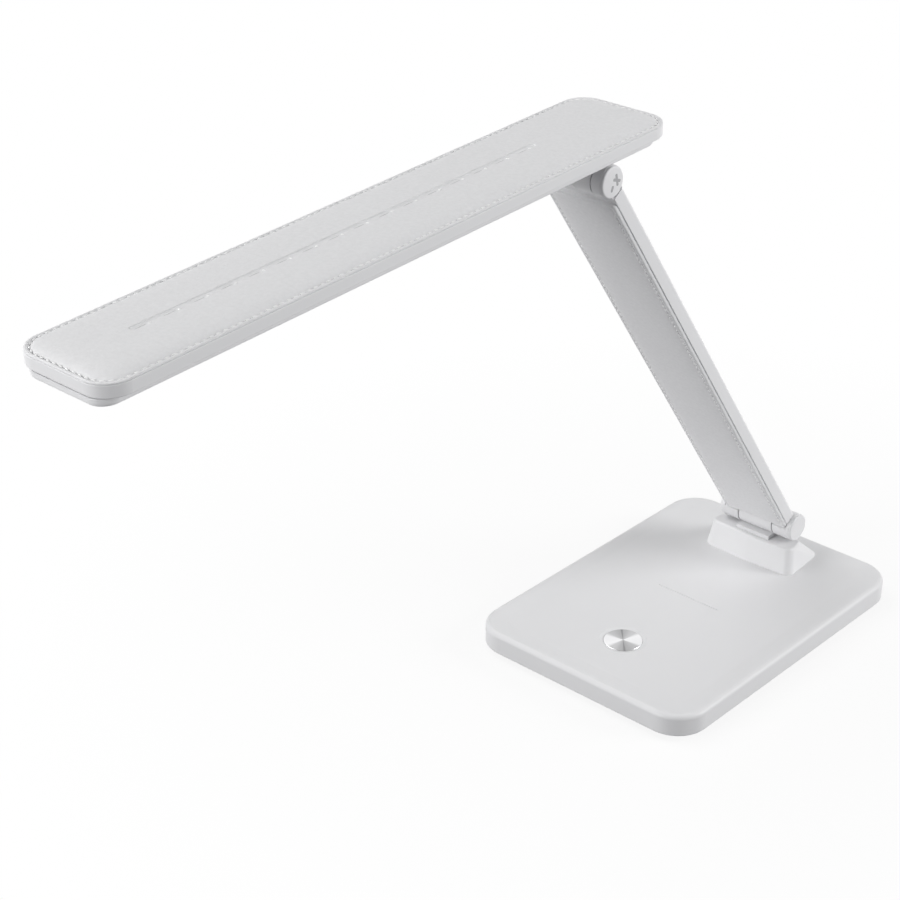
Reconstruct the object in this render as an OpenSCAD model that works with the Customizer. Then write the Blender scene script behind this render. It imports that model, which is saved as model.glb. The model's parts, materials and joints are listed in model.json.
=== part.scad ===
// Folding LED desk lamp: weighted base, leather-faced arm and a leather-topped
// light head. Millimetres. Origin: middle of the base at table level.
// +X is the hinge direction to the right, -Y the front, +Z up.

/* [Base] */
// width of the base
base_w = 150; // [140:1:170]
// depth of the base, front to back
base_d = 208.6; // [200:0.2:240]
// corner radius of the base in plan
base_r = 19.8; // [19:0.2:26]
// height of the base's rim
base_h = 16.4; // [16.2:0.1:19]
// height of the shell's lower edge, above the foot
shell_z = 3; // [2.4:0.1:3]
// rounding of the rim
rim_r = 3; // [1.5:0.1:3.5]
// wall of the base shell
shell_wall = 2.4; // [2:0.1:2.6]
// how far the top is dished below the rim
dish_depth = 0.4; // [0.2:0.05:0.8]
// width of the rim round the dish
rim_w = 5; // [4:0.5:8]
// how far the foot steps in under the shell
foot_inset = 9.4; // [6:0.2:11]
// how far the rubber pad steps in under the foot
pad_inset = 5; // [3:0.5:10]
// thickness of the rubber pad
pad_t = 1.2; // [1:0.1:1.6]
// rounding of the shell's lower edge
lower_r = 1.4; // [0.6:0.1:1.6]
// foot screws in from the base's sides
screw_side = 19; // [17:0.5:24]
// foot screws in from the base's front and rear
screw_end = 34.3; // [30:0.1:40]
// weight plate in from the base's sides
weight_side = 23; // [22:0.5:35]
// weight plate in from the base's front edge
weight_front = 18.3; // [14:0.1:30]
// weight plate in from the base's rear edge
weight_rear = 54.3; // [52:0.1:70]
// thickness of the weight plate
weight_t = 5.4; // [3:0.1:5.4]

/* [Touch key] */
// diameter of the metal touch key
key_d = 22; // [18:0.5:26]
// thickness of the touch key
key_t = 1.4; // [1:0.1:1.5]
// middle of the key behind the base's front edge
key_front = 43.8; // [38:0.1:56]
// width of the dished ring round the key
key_ring = 2.4; // [1:0.1:4]
// length of the engraved line
line_l = 42; // [20:1:60]
// place of the engraved line, behind the middle
line_y = 0.2; // [-20:0.2:20]

/* [Plinth and lower hinge] */
// width of the plinth at its foot
plinth_w = 61.4; // [60:0.2:66]
// depth of the plinth at its foot
plinth_d = 34; // [32:0.5:34]
// width of the plinth's top
plinth_top_w = 57; // [52:0.2:60]
// depth of the plinth's top
plinth_top_d = 15; // [14:0.2:20]
// how far the plinth's front leans back
plinth_front = 2.6; // [1:0.1:4]
// how far the plinth's front bows out
plinth_bow = 1.3; // [0:0.1:2]
// height of the plinth's top above the table
plinth_z = 31.9; // [30:0.1:32.2]
// lower hinge axis in front of the base's rear edge
hinge_back = 32.2; // [31:0.1:34]
// lower hinge axis above the table
hinge_z = 41.3; // [41.2:0.1:44]
// width of the fixed knuckle on the plinth
lug_w = 23; // [18:0.5:24]
// radius of the fixed knuckle
lug_r = 8.1; // [7:0.1:8.2]
// radius of the arm's knuckles
knuckle_r = 8.2; // [8.1:0.1:8.8]
// half length of the lower knuckles, caps left out
lower_half = 23.6; // [23.2:0.1:27]
// radius of both hinge pins
pin_r = 3; // [2.5:0.1:3.2]
// wall of the bushings
bush_wall = 1.6; // [1.2:0.1:1.8]
// running clearance of pin in bushing
run_c = 0.05; // [0.02:0.01:0.09]
// thickness of the friction washers
washer_t = 0.7; // [0.5:0.1:0.9]
// side clearance beside the washers
side_c = 0.1; // [0.05:0.05:0.3]

/* [Arm] */
// distance between the two hinge axes
arm_len = 326.6; // [324:0.2:360]
// width of the arm
arm_w = 44.4; // [42:0.2:45]
// lean of the arm forward from upright in the shown pose
arm_lean = 35; // [0:0.1:60]
// arm frame behind the hinge line
arm_back_t = 4.6; // [4.4:0.1:5.2]
// arm frame in front of the hinge line
arm_front_t = 3.6; // [3.3:0.1:3.9]
// height of the leather's edge on the arm
arm_pad_edge = 2; // [1.6:0.1:2.2]
// crown of the leather over its edge on the arm
arm_crown = 1.2; // [0.4:0.1:1.4]

/* [Head] */
// width of the light head
head_w = 58; // [56:0.5:64]
// head in front of the upper hinge axis
head_front = 311; // [290:1:311]
// head behind the upper hinge axis
head_rear = 38.4; // [38:0.2:50]
// corner radius of the head in plan
head_r = 13; // [12.5:0.5:16]
// droop of the head's front end in the shown pose
head_droop = 2.7; // [-10:0.1:20]
// top rim of the head above the hinge axis
head_top = 20.5; // [20.2:0.1:20.8]
// lower edge of the upper frame above the hinge axis
band_z = 14.5; // [14.4:0.1:14.7]
// underside of the light housing above the hinge axis
under_z = 9.8; // [9.6:0.1:10]
// how far the light housing steps in at the sides and the rear
house_inset = 4.3; // [3.5:0.1:5]
// how far the light housing steps in at the front
house_front = 0.8; // [0.6:0.1:3]
// crown of the leather over its edge on the head
head_crown = 2; // [1:0.1:2.4]
// length of the sewn channel
groove_l = 253; // [200:1:256]
// width of the sewn channel
groove_w = 4.2; // [3:0.1:6]
// depth of the sewn channel
groove_depth = 1.7; // [0.8:0.1:2]
// half length of the upper knuckles, caps left out
upper_half = 21.2; // [20.8:0.1:22.5]
// width of the head's knuckle
head_lug_w = 30; // [24:0.5:30]

/* [Hidden] */
$fn = 48;
e = 0.01;
floor_z = base_h - dish_depth;      // dished floor of the base's top
top_t = 2.4;                        // thickness of the shell's top
under_top = floor_z - top_t;        // underside of the shell's top
foot_t = 1.6;                       // flange of the foot plate inside the shell
hinge_y = base_d/2 - hinge_back;    // lower hinge axis behind the middle
post_y = hinge_y + 2.6;             // middle of the plinth and of the post's foot
bracket_w = 64;                     // hinge bracket under the shell's top
bracket_d = 24;
bracket_t = 2.6;
bracket_x = 17;                     // its two screws and the post's
post_w = 46;                        // foot of the hinge post inside the plinth
post_d = 20;
key_y = base_d/2 - key_front;       // touch key in front of the middle
board_w = 58;                       // circuit board
board_d = 36;
board_t = 1.6;
board_post_x = board_w/2 - 5;       // posts that carry it
board_post_y = board_d/2 - 4;
weight_w = base_w - 2*weight_side;
weight_d = base_d - weight_front - weight_rear;
weight_yc = (weight_front - weight_rear)/2;
weight_hole = 12;                   // holes in from the weight plate's sides
weight_hole_end = 18;               // and from its ends
board_top = under_top - 1.8;        // board hangs from posts under the shell's top
key_low = floor_z - key_t - 0.1;    // underside of the touch key
spring_wire = 0.35;                 // radius of the contact spring's wire
foot_low = 0.8;                     // lowest face of the foot plate
inner_c = 0.2;                      // clearance of the foot flange in the shell
cap_t = 1.6;                        // thickness of the end caps
cap_r = knuckle_r - 0.2;
spigot_r = 4.6;                     // spigot of the caps in the knuckles
spigot_t = 0.7;
hole_c = 0.1;                       // clearance round spigots, screws and keys
bush_r = pin_r + run_c + bush_wall; // outside of the bushings, also their seats
notch_c = 0.3;                      // clearance of the arm round the fixed knuckle
notch_low = lug_r + notch_c;
tab_front = 9.6;                    // front of the fixed block before the hinge axis
tab_low = 7.1;                      // its top below the axis, clear of the folded arm
head_lug_r = 8;                     // knuckle of the head
notch_up = head_lug_r + 0.4;
lower_in = lug_w/2 + washer_t + side_c;        // inner faces of the lower knuckles
upper_in = head_lug_w/2 + washer_t + side_c;   // inner faces of the upper knuckles
arm_pad_lo = 5.4;                   // ends of the leather along the arm
pocket_w = 35.2;                    // pocket in the arm's back
pocket_end = 22;
cover_w = 37.6;                     // cover of the pocket
cover_t = 1.6;
cover_end = 20;
bar_w = 14;                         // stiffening bar in the pocket
bar_t = 2.4;
bar_end = 30;
wire_x = 9;                         // wires beside the bar
wire_y = 1.9;
wire_r = 0.8;
wire_end = 9.4;
arm_pad_hi = arm_len - 12.5;
head_l = head_front + head_rear;
head_yc = (head_rear - head_front)/2;
pad_seat = 0.8;                     // leather recessed in the head frame
pad_rim = 0.9;                      // rim of the head frame round the leather
head_skin = 2.4;                    // top of the head frame
groove_yc = -157.5;                 // middle of the sewn channel
stack_y0 = -20;                     // rear end of the light panel stack
stack_y1 = -head_front + 7;         // front end of the light panel stack
house_w = head_w - 2*house_inset;
house_l = head_l - house_inset - house_front;
house_yc = head_yc + (house_front - house_inset)/2;
house_r = head_r - house_inset;
neck_in = 2.2;                      // how far the housing's neck steps in again
groove_h = 0.8;                     // parting groove between frame and housing
house_top = head_top - pad_seat - head_skin - 0.2;
panel_wall = 3.4;                   // wall of the housing beside the light panel
panel_w = house_w - 2*panel_wall;   // room for the light panel
window_lip = 2.1;                   // lip that holds the panel round its window
guide_w = panel_w - 3.8;            // width of the light guide
flange_w = 38;                      // flange of the head's bracket
flange_d = 22;
chip_pitch = 13.4;                  // from one light chip to the next
panel_z = under_z + 2.2;            // lower face of the light guide
screw_pos = [for (x = [-1,1], y = [-1,1])
  [x*(base_w/2 - screw_side), y*(base_d/2 - screw_end)]];
screw_l = 8.4;                      // foot screws above the shell's lower edge
jack_z = (shell_z + foot_t + under_top)/2;  // middle of the power inlet
jack_h = 8.8;                       // height of its body
head_screw_x = 15;                  // screws of the light housing, both pairs behind the panel
head_screw_y = [head_rear - 12.5, 14.6];

white = [0.87,0.87,0.88];
leather = [0.88,0.88,0.89];
steel = [0.72,0.73,0.75];
brass = [0.78,0.63,0.33];
dark = [0.12,0.12,0.13];

// ---- helpers ---------------------------------------------------------------
// plan outline of a plate with round corners
module rrect(w, d, r) {
  square([w - 2*r, d], center = true);
  square([w, d - 2*r], center = true);
  for (x = [-1,1], y = [-1,1]) translate([x*(w/2 - r), y*(d/2 - r)]) circle(r);
}
module slab(w, d, r, z0, z1) {
  translate([0,0,z0]) linear_extrude(z1 - z0) rrect(w, d, r);
}
// carries a section round a rounded rectangle; the section is drawn from the
// corner's centre out to the outline
module round_sweep(w, d, r) {
  cx = w/2 - r;
  cy = d/2 - r;
  for (x = [0,1], y = [0,1]) mirror([x,0,0]) mirror([0,y,0]) translate([cx, cy, 0])
    rotate_extrude(angle = 90) children();
  for (s = [0,1]) mirror([s,0,0]) translate([cx,0,0]) rotate([90,0,0])
    linear_extrude(2*cy, center = true) children();
  for (s = [0,1]) mirror([0,s,0]) translate([0,cy,0]) rotate([90,0,90])
    linear_extrude(2*cx, center = true) children();
}
// half section with a rounded upper and lower outer edge
module edge_section(r, z0, z1, et, eb) {
  difference() {
    translate([0,z0]) square([r, z1 - z0]);
    if (et > 0) difference() {
      translate([r - et, z1 - et]) square(et + 1);
      translate([r - et, z1 - et]) circle(et);
    }
    if (eb > 0) difference() {
      translate([r - eb, z0 - 1]) square([eb + 1, eb + 1]);
      translate([r - eb, z0 + eb]) circle(eb);
    }
  }
}
module pebble(w, d, r, z0, z1, et, eb) {
  round_sweep(w, d, r) edge_section(r, z0, z1, et, eb);
  translate([-(w/2 - r) - e, -(d/2 - r) - e, z0])
    cube([w - 2*r + 2*e, d - 2*r + 2*e, z1 - z0]);
}
// bar along X through the origin
module xbar(r, x0, x1) {
  translate([x0,0,0]) rotate([0,90,0]) cylinder(r = r, h = x1 - x0);
}
module both() {
  children();
  mirror([1,0,0]) children();
}
// a (y,z) outline made into a body across X
module across(x0, x1) {
  translate([x0,0,0]) rotate([90,0,90]) linear_extrude(x1 - x0) children();
}
module in_arm() {
  translate([0,hinge_y,hinge_z]) rotate([arm_lean,0,0]) children();
}
module in_head() {
  in_arm() translate([0,0,arm_len]) rotate([head_droop - arm_lean,0,0]) children();
}
module at_lower() {
  translate([0,hinge_y,hinge_z]) children();
}

// ---- cushions: rings of a rounded rectangle laid one inside the other -------
function seg(a, b, n) = [for (i = [0:n-1]) a + (b - a)*i/n];
function ring(w, l, r, yc, z, nc, nl, nw) = let (x = w/2, y = l/2) concat(
  [for (t = seg(-(y - r), y - r, nl)) [x, yc + t, z]],
  [for (a = seg(0, 90, nc)) [x - r + r*cos(a), yc + y - r + r*sin(a), z]],
  [for (t = seg(x - r, -(x - r), nw)) [t, yc + y, z]],
  [for (a = seg(90, 180, nc)) [-x + r + r*cos(a), yc + y - r + r*sin(a), z]],
  [for (t = seg(y - r, -(y - r), nl)) [-x, yc + t, z]],
  [for (a = seg(180, 270, nc)) [-x + r + r*cos(a), yc - y + r + r*sin(a), z]],
  [for (t = seg(-(x - r), x - r, nw)) [t, yc - y, z]],
  [for (a = seg(270, 360, nc)) [x - r + r*cos(a), yc - y + r + r*sin(a), z]]);
module rings_body(rows, n) {
  m = len(rows);
  mid = function (row) (row[0] + row[n/2])/2;
  pts = concat([for (row = rows) each row], [mid(rows[0]), mid(rows[m-1])]);
  polyhedron(pts, concat(
    [for (i = [0:n-1]) [m*n, i, (i + 1) % n]],
    [for (k = [0:m-2], i = [0:n-1]) let (j = (i + 1) % n)
      each [[k*n + i, (k+1)*n + j, k*n + j], [k*n + i, (k+1)*n + i, (k+1)*n + j]]],
    [for (i = [0:n-1]) [m*n + 1, (m-1)*n + (i + 1) % n, (m-1)*n + i]]), convexity = 6);
}

// ---- base ------------------------------------------------------------------
module base_shell() color(white) difference() {
  union() {
    difference() {
      pebble(base_w, base_d, base_r, shell_z, base_h, rim_r, lower_r);
      // open underneath
      slab(base_w - 2*shell_wall, base_d - 2*shell_wall, base_r - shell_wall,
        shell_z - 1, under_top);
      // shallow dish with a sloping border
      round_sweep(base_w, base_d, base_r) polygon([[0,floor_z],
        [base_r - rim_w - 7, floor_z], [base_r - rim_w, base_h + 0.02],
        [base_r - rim_w, base_h + 2], [0, base_h + 2]]);
      translate([-(base_w/2 - base_r) - e, -(base_d/2 - base_r) - e, floor_z])
        cube([base_w - 2*base_r + 2*e, base_d - 2*base_r + 2*e, 4]);
      // seat of the plinth
      translate([0, post_y, 0])
        slab(plinth_w - 4 + 2*hole_c, plinth_d + 2*hole_c, 5 + hole_c, floor_z - 0.5, base_h + 2);
    }
    // screw bosses and board posts under the top
    for (p = screw_pos) translate([p[0], p[1], shell_z + foot_t]) cylinder(r = 3.6, h = under_top - shell_z - foot_t + e);
    for (x = [-board_post_x,board_post_x], y = [-board_post_y,board_post_y]) translate([x, y - key_y, board_top])
      cylinder(r = 2.6, h = under_top - board_top + e);
  }
  for (p = screw_pos) translate([p[0], p[1], 0]) cylinder(r = 1.5, h = shell_z + screw_l + 0.2);
  for (x = [-board_post_x,board_post_x], y = [-board_post_y,board_post_y]) translate([x, y - key_y, board_top - 0.2]) cylinder(r = 0.9, h = 3);
  // seat of the touch key, its dished ring and the way down to the board
  translate([0,-key_y,0]) {
    translate([0,0,key_low]) cylinder(d = key_d + 2*hole_c, h = 5);
    translate([0,0,floor_z - 0.5]) cylinder(r1 = key_d/2 + hole_c, r2 = key_d/2 + key_ring, h = 0.5 + e);
    cylinder(r = 3.2, h = 20);
  }
  // engraved line
  translate([-line_l/2, line_y - 0.3, floor_z - 0.3]) cube([line_l, 0.6, 2]);
  // ways for the two bracket screws and the hinge wire
  for (x = [-bracket_x,bracket_x]) translate([x, post_y, 10]) cylinder(r = 2.2, h = 10);
  translate([0, post_y, 10]) cylinder(r = 3, h = 10);
  // hole of the power inlet
  translate([0, base_d/2 + 1, jack_z]) rotate([90,0,0]) cylinder(r = 3.6 + hole_c, h = 6);
}
module foot_plate() color(white) difference() {
  union() {
    slab(base_w - 2*shell_wall - 2*inner_c, base_d - 2*shell_wall - 2*inner_c,
      base_r - shell_wall - inner_c, shell_z, shell_z + foot_t);
    pebble(base_w - 2*foot_inset, base_d - 2*foot_inset, base_r - foot_inset,
      foot_low, shell_z + 0.4, 0, 1.6);
  }
  // shallow seat of the rubber pad
  slab(base_w - 2*foot_inset - 2*pad_inset + 0.4, base_d - 2*foot_inset - 2*pad_inset + 0.4,
    base_r - foot_inset - pad_inset + 2.2, 0, pad_t);
  for (p = screw_pos) translate([p[0], p[1], 0]) {
    cylinder(r = 1.7, h = 8);
    cylinder(r = 3.1, h = shell_z + 0.2);
  }
}
module foot_pad() color(dark)
  slab(base_w - 2*foot_inset - 2*pad_inset, base_d - 2*foot_inset - 2*pad_inset,
    base_r - foot_inset - pad_inset + 2, 0, pad_t);
module weight_plate() color(steel) difference() {
  translate([0,weight_yc,0]) slab(weight_w, weight_d, 6, shell_z + foot_t, shell_z + foot_t + weight_t);
  for (x = [-1,1], y = [-1,1])
    translate([x*(weight_w/2 - weight_hole), weight_yc + y*(weight_d/2 - weight_hole_end), 0])
      cylinder(r = 2.5, h = 20);
}
module hinge_bracket() color(steel) difference() {
  translate([0, post_y, 0]) slab(bracket_w, bracket_d, 4, under_top - bracket_t, under_top);
  for (x = [-bracket_x,bracket_x]) translate([x, post_y, 0]) cylinder(r = 2.2, h = 20);
  translate([0, post_y, 0]) cylinder(r = 3, h = 20);
}
// outline of the plinth drawn in by c
module plinth_body(c, z0, z1) {
  fx = plinth_w/2 - 5;
  fy = plinth_d/2 - 5;
  tx = plinth_top_w/2 - 4.6;
  ty = -plinth_d/2 + plinth_front + 4.6;
  tail = plinth_top_d - 9.2;
  hull() {
    for (p = [[-fx,-fy],[0,-fy - plinth_bow],[fx,-fy],[-fx + 2,fy],[fx - 2,fy]])
      translate([p[0], p[1], z0]) cylinder(r = 5 - c, h = 1, $fn = 32);
    for (p = [[-tx,ty],[0,ty - plinth_bow],[tx,ty],[-tx + 1,ty + tail],[tx - 1,ty + tail]])
      translate([p[0], p[1], z1 - 1.6 - c/2]) rotate_extrude($fn = 32) intersection() {
        union() { square([3 - c*0.6, 1.6]); translate([3 - c*0.6,0]) circle(1.6, $fn = 32); }
        square([8,1.6]);
      }
  }
}
module plinth() color(white) translate([0, post_y, 0]) difference() {
  union() {
    plinth_body(0, floor_z, plinth_z);
    slab(plinth_w - 4, plinth_d, 5, floor_z - 0.5, floor_z + 1);
  }
  plinth_body(2, floor_z - 2, plinth_z - 2.2);
  translate([-lug_w/2 - hole_c, hinge_y - post_y - tab_front - hole_c, 0])
    cube([lug_w + 2*hole_c, tab_front + lug_r + 2*hole_c, 40]);
}
// fixed knuckle: barrel, neck, block in front that the folded arm just clears, foot flange
module hinge_post() color(white) difference() {
  union() {
    at_lower() across(-lug_w/2, lug_w/2) {
      circle(lug_r);
      translate([-3.4, -hinge_z + floor_z]) square([3.4 + lug_r, hinge_z - floor_z]);
      translate([-tab_front, floor_z - 0.5 - hinge_z])
        square([tab_front + lug_r, hinge_z - tab_low - floor_z + 0.5]);
    }
    translate([0, post_y, 0]) slab(post_w, post_d, 4, floor_z - 0.5, floor_z + 2.6);
  }
  at_lower() xbar(bush_r, -lug_w, lug_w);
  for (x = [-bracket_x,bracket_x]) translate([x, post_y, 10]) cylinder(r = 1.7, h = 10);
  translate([0, post_y, 10]) cylinder(r = 2, h = 14);
}
module lower_bushing() color(brass) at_lower() difference() {
  xbar(bush_r, -lug_w/2, lug_w/2);
  xbar(pin_r + run_c, -lug_w, lug_w);
}
module lower_washers() color(steel) at_lower() both() difference() {
  xbar(6.4, lug_w/2, lug_w/2 + washer_t);
  xbar(pin_r + run_c, 0, lug_w);
}
module touch_key() color(steel) translate([0,-key_y,key_low]) {
  cylinder(d = key_d, h = key_t - 0.3);
  translate([0,0,key_t - 0.3]) cylinder(d1 = key_d, d2 = key_d - 0.6, h = 0.3);
}
module touch_spring() color(brass) translate([0,-key_y,0]) {
  for (i = [0:3]) translate([0,0,board_top + spring_wire + i*(key_low - board_top - 2*spring_wire - 0.02)/3])
    rotate_extrude() translate([2,0]) circle(spring_wire, $fn = 24);
}
module control_board() color([0.1,0.3,0.2]) difference() {
  translate([0,-key_y,0]) slab(board_w, board_d, 2, board_top - board_t, board_top);
  for (x = [-board_post_x,board_post_x], y = [-board_post_y,board_post_y]) translate([x, y - key_y, 0]) cylinder(r = 1.2, h = 20);
}
module board_parts() color(dark) translate([0,-key_y,board_top]) {
  for (x = [-14,-8,8,14]) translate([x - 1.4, -9, 0]) cube([2.8, 1.8, 1]);
  translate([8,4,0]) cube([5,5,1.2]);
  translate([-15,4,0]) cube([4,5,1.2]);
  translate([-3,9,0]) cube([6,5,1.4]);
}
module power_jack() color(dark) difference() {
  union() {
    translate([-4.5, base_d/2 - shell_wall - 12, jack_z - jack_h/2]) cube([9, 12, jack_h]);
    translate([0, base_d/2 - 0.4, jack_z]) rotate([90,0,0]) cylinder(r = 3.6, h = 6);
  }
  translate([0, base_d/2 + 1, jack_z]) rotate([90,0,0]) cylinder(r = 2.75, h = 10.4);
  translate([0, base_d/2 - 1, jack_z]) rotate([90,0,0]) cylinder(r = 1, h = 12);
}
module jack_pin() color(steel) translate([0, base_d/2 - 2, jack_z]) rotate([90,0,0]) {
  cylinder(r = 1, h = 11);
}
module base_screws() color(steel) for (p = screw_pos) translate([p[0], p[1], 0]) {
  translate([0,0,pad_t + 0.1]) cylinder(r = 2.8, h = shell_z + 0.2 - pad_t - 0.1);
  translate([0,0,shell_z]) cylinder(r = 1.45, h = screw_l);
}
module bracket_screws() color(steel) for (x = [-bracket_x,bracket_x]) translate([x, post_y, 0]) {
  translate([0,0,under_top - bracket_t - 2.4]) cylinder(r = 3.4, h = 2.4);
  translate([0,0,under_top - 3]) cylinder(r = 1.65, h = 7.6);
}

// ---- arm: along local +Z, leather face towards local -Y ----------------------
module arm_section() {
  w = arm_w/2;
  t = arm_front_t;
  b = arm_back_t;
  translate([-w + 2, -t + 0.6]) square([2*w - 4, t + b - 0.6]);
  translate([-w + 0.6, -t]) square([2*w - 1.2, 2]);
  translate([-w, -t + 0.6]) square([2*w, t + b - 2.6]);
  for (s = [-1,1]) {
    translate([s*(w - 2), b - 2]) circle(2);
    translate([s*(w - 0.6), -t + 0.6]) circle(0.6);
  }
}
module arm_frame() color(white) in_arm() difference() {
  union() {
    linear_extrude(arm_len - 9) arm_section();
    // lower knuckles
    xbar(knuckle_r, -lower_half, lower_half);
    // upper knuckles
    translate([0,0,arm_len]) both() xbar(knuckle_r, upper_in, upper_half);
    translate([-upper_half, -arm_front_t, arm_len - 10]) cube([2*upper_half, arm_front_t + arm_back_t, 10]);
  }
  // between the lower knuckles: round the fixed knuckle, open below
  xbar(notch_low, -lower_in, lower_in);
  translate([-lower_in, -20, -20]) cube([2*lower_in, 40, 20 + 4]);
  // seat of the leather's lower end in the round of the knuckles
  translate([-arm_w/2 + 0.4, -20, arm_pad_lo - 0.1]) cube([arm_w - 0.8, 20 - arm_front_t, 12]);
  // between the upper knuckles
  translate([0,0,arm_len]) xbar(notch_up, -upper_in, upper_in);
  translate([-upper_in, -20, arm_len - 4]) cube([2*upper_in, 40, 20]);
  // pin bores and seats of the caps
  xbar(pin_r + hole_c, -40, 40);
  both() xbar(spigot_r + hole_c, lower_half - spigot_t - 0.1, 40);
  translate([0,0,arm_len]) {
    xbar(pin_r + hole_c, -40, 40);
    both() xbar(spigot_r + hole_c, upper_half - spigot_t - 0.1, 40);
  }
  // pocket for the bar and the wires, with a rebate for the cover
  translate([-pocket_w/2, -1.6, pocket_end]) cube([pocket_w, 20, arm_len - 2*pocket_end]);
  translate([-cover_w/2 - hole_c, arm_back_t - cover_t, cover_end - hole_c])
    cube([cover_w + 2*hole_c, 5, arm_len - 2*cover_end + 2*hole_c]);
  for (x = [-wire_x,wire_x]) translate([x, wire_y, 4]) cylinder(r = wire_r + 0.2, h = arm_len - 8);
}
module arm_back() color(white) in_arm()
  translate([-cover_w/2, arm_back_t - cover_t, cover_end]) cube([cover_w, cover_t, arm_len - 2*cover_end]);
module arm_leather() color(leather) in_arm() {
  w = arm_w - 1.2;
  l = arm_pad_hi - arm_pad_lo;
  h = arm_pad_edge;
  c = arm_crown;
  rows = [[0.3,0],[0,0.4],[0,h-0.6],[0.25,h-0.2],[0.9,h],[1.6,h-0.12],[2.1,h-0.35],[2.7,h-0.05],
    [4.6,h+0.42*c],[8,h+0.72*c],[12.5,h+0.93*c],[17,h+c],[19.6,h+c]];
  difference() {
    translate([0,-arm_front_t,(arm_pad_lo + arm_pad_hi)/2]) rotate([90,0,0])
      rings_body([for (p = rows) ring(w - 2*p[0], l - 2*p[0], min(2.4, (w - 2*p[0])/2*0.9), 0, p[1], 3, 12, 4)],
        4*3 + 2*12 + 2*4);
    // clear of the fixed knuckle
    xbar(notch_low, -lower_in, lower_in);
  }
}
module arm_bar() color(steel) in_arm()
  translate([-bar_w/2, -1.6, bar_end]) cube([bar_w, bar_t, arm_len - 2*bar_end]);
module arm_wires() color(dark) in_arm() for (x = [-wire_x,wire_x])
  translate([x, wire_y, wire_end]) cylinder(r = wire_r, h = arm_len - 2*wire_end - 0.2);
module lower_pin() color(steel) at_lower()
  xbar(pin_r, -(lower_half - spigot_t - 0.2), lower_half - spigot_t - 0.2);
module upper_pin() color(steel) in_arm() translate([0,0,arm_len])
  xbar(pin_r, -(upper_half - spigot_t - 0.2), upper_half - spigot_t - 0.2);
// end cap with a rounded rim; marks on one only
module cap(x0) {
  translate([x0,0,0]) rotate([0,90,0]) rotate_extrude() {
    square([cap_r - 0.8, cap_t]);
    square([cap_r, cap_t - 0.8]);
    translate([cap_r - 0.8, cap_t - 0.8]) circle(0.8);
    translate([0,-spigot_t]) square([spigot_r, spigot_t + e]);
  }
}
module lower_caps() color(white) in_arm() both() cap(lower_half);
module upper_caps() color(white) in_arm() translate([0,0,arm_len]) difference() {
  both() cap(upper_half);
  // plus and minus signs
  translate([upper_half + cap_t - 0.35, 0, 0]) rotate([head_droop - arm_lean + 18,0,0]) {
    translate([0,-0.6,-0.45]) cube([2,5.6,0.9]);
    translate([0,1.75,-2.8]) cube([2,0.9,5.6]);
    translate([0,-4.4,-3.4]) cube([2,2.8,0.9]);
  }
}

// ---- head: front towards local -Y, leather up --------------------------------
module head_frame() color(white) in_head() {
  skin_z = head_top - pad_seat - head_skin;
  translate([0,head_yc,0]) {
    // wall, top skin and the low rim round the leather in one section
    round_sweep(head_w, head_l, head_r) difference() {
      edge_section(head_r, band_z, head_top, 0.5, 0.9);
      translate([-1, head_top - pad_seat]) square([head_r - pad_rim + 1, 2]);
      translate([-1, band_z - 1]) square([head_r - 2.4 + 1, skin_z - band_z + 1]);
    }
    translate([-(head_w/2 - head_r) - e, -(head_l/2 - head_r) - e, skin_z])
      cube([head_w - 2*head_r + 2*e, head_l - 2*head_r + 2*e, head_skin]);
  }
  // bosses for the housing's screws
  for (x = [-head_screw_x,head_screw_x], y = head_screw_y) translate([x,y,0]) difference() {
    translate([0,0,band_z - 0.6]) cylinder(r = 2.6, h = head_top - pad_seat - head_skin - band_z + 0.6 + e);
    translate([0,0,band_z - 1]) cylinder(r = 1.2, h = 3.4);
  }
}
module head_leather() color(leather) in_head() {
  w = head_w - 2*pad_rim - 0.3;
  l = head_l - 2*pad_rim - 0.3;
  r = head_r - pad_rim - 0.15;
  h = 1.7;
  c = head_crown;
  gw = groove_w + 1.6;
  gl = groove_l + 1.6;
  lip = h + c;
  outer = [[0.3,0],[0,0.5],[0,h-0.7],[0.3,h-0.2],[0.9,h],[1.6,h-0.1],[2.2,h-0.4],[2.9,h-0.05],
    [4.4,h+0.42*c],[7.5,h+0.75*c],[12,h+0.94*c]];
  inner = [[18,0.45,lip],[22.4,0.8,lip]];
  floorz = lip - groove_depth;
  rows = concat(
    [for (p = outer) ring(w - 2*p[0], l - 2*p[0], r - 0.55*p[0], head_yc, p[1], 6, 14, 4)],
    [for (p = inner) let (t = p[1], ww = (w - 2*p[0])) ring(ww, (l - 2*p[0])*(1-t) + gl*t,
      min(ww/2*0.95, 6), head_yc*(1-t) + groove_yc*t, p[2], 6, 14, 4)],
    [ring(gw, gl, gw/2*0.95, groove_yc, lip - 0.05, 6, 14, 4),
     ring(groove_w + 0.5, groove_l + 0.5, (groove_w + 0.5)/2*0.95, groove_yc, lip - 0.3, 6, 14, 4),
     ring(groove_w, groove_l, groove_w/2*0.95, groove_yc, lip - 0.9, 6, 14, 4),
     ring(groove_w - 0.8, groove_l - 0.8, (groove_w - 0.8)/2*0.95, groove_yc, floorz, 6, 14, 4)]);
  translate([0,0,head_top - pad_seat]) rings_body(rows, 4*6 + 2*14 + 2*4);
}
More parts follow.
